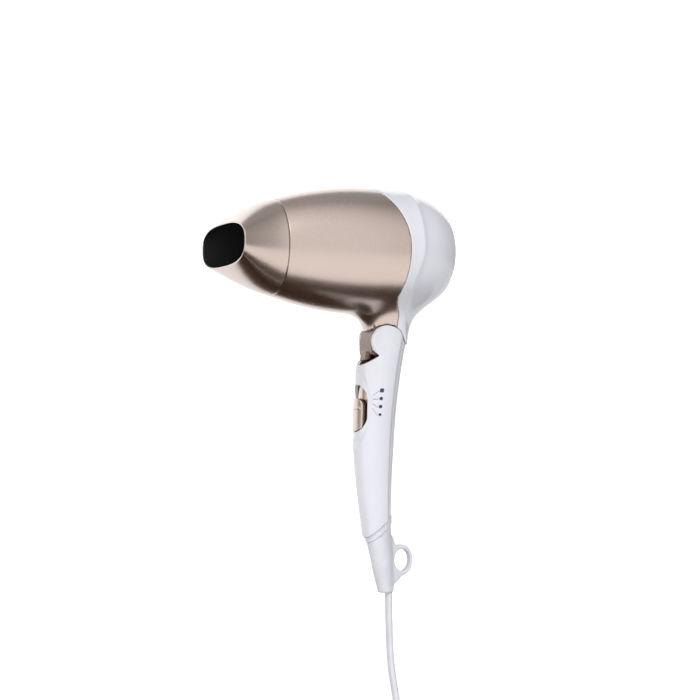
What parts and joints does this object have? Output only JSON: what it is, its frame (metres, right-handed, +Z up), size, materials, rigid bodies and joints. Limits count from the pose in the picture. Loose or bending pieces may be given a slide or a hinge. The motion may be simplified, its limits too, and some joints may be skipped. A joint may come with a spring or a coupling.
{
  "type": "folding travel hair dryer",
  "caption": "Folding travel hair dryer with a pull-off concentrator nozzle, hinged handle, slide switch, hang loop and flat mains lead.",
  "frame": {"origin": "middle of the grip, on the handle's centre line", "axes": "+Z up the handle towards the barrel, -X the way the nozzle blows, XZ is the plane of symmetry"},
  "size_m": [0.1339, 0.0706, 0.5183],
  "materials": {
    "champagne_paint": "satin metallic champagne lacquer on moulded plastic",
    "champagne_trim": "satin metallic champagne lacquer",
    "white_gloss": "gloss moulded plastic, cool white",
    "white_matte": "soft satin moulded plastic, cool white",
    "black_nylon": "heat-proof moulded nylon",
    "grey_nylon": "glass-filled nylon",
    "steel_mesh": "fine woven screen",
    "plated_steel": "zinc plated",
    "nickel_pins": "bright nickel plate",
    "mica": "pressed mica sheet",
    "heating_wire": "oxidised resistance wire",
    "ceramic_white": "glazed",
    "mark_print": "pad-printed ink",
    "circuit_board": "solder-masked laminate",
    "wire_red": "silicone insulation",
    "wire_blue": "silicone insulation",
    "cord_pvc": "satin white PVC sheath",
    "tie_rubber": "matt strap"
  },
  "bodies": {
    "handle": {"handle_front": "white_gloss", "handle_back": "white_gloss", "hinge_pin": "plated_steel", "handle_screws": "plated_steel", "switch_body": "black_nylon", "switch_marks": "mark_print", "rectifier_board": "circuit_board", "handle_wires": "wire_blue", "cord_clamp": "white_matte", "clamp_screws": "plated_steel", "strain_relief": "white_matte", "cord_lead": "cord_pvc", "cord_hank": "cord_pvc", "cord_tie": "tie_rubber", "cord_tail": "cord_pvc", "plug_body": "white_matte", "plug_pins": "nickel_pins"},
    "head": {"barrel_shell": "champagne_paint", "rear_housing": "white_gloss", "rear_grille": "white_gloss", "intake_screen": "steel_mesh", "outlet_grille": "black_nylon", "heat_shield": "mica", "heater_frame": "mica", "heating_coils": "heating_wire", "thermostat": "plated_steel", "thermal_fuse": "ceramic_white", "motor_mount": "grey_nylon", "motor": "plated_steel", "housing_screws": "plated_steel", "head_wires": "wire_red", "detent_spring": "plated_steel", "detent_balls": "plated_steel"},
    "fan": {"fan": "black_nylon", "motor_shaft": "plated_steel"},
    "nozzle_collar": {"nozzle_collar": "black_nylon"},
    "nozzle": {"nozzle": "champagne_paint"},
    "slider": {"switch_slider": "champagne_trim"}
  },
  "joints": [
    {"name": "head_fold", "type": "hinge", "parent": "handle", "child": "head", "pos_m": [0.0015, 0, 0.0595], "axis": [0, -1, 0], "range_deg": [0, 90]},
    {"name": "nozzle_pull", "type": "slide", "parent": "head", "child": "nozzle_collar", "axis": [-1, 0, 0], "range_m": [0, 0.02]},
    {"name": "nozzle_turn", "type": "hinge", "parent": "nozzle_collar", "child": "nozzle", "pos_m": [-0.0625, 0, 0.11], "axis": [-1, 0, 0], "continuous": true},
    {"name": "switch_slide", "type": "slide", "parent": "handle", "child": "slider", "axis": [0, 0, 1], "range_m": [0, 0.0072]},
    {"name": "fan_spin", "type": "hinge", "parent": "head", "child": "fan", "pos_m": [0.018, 0, 0.11], "axis": [1, 0, 0], "continuous": true}
  ]
}
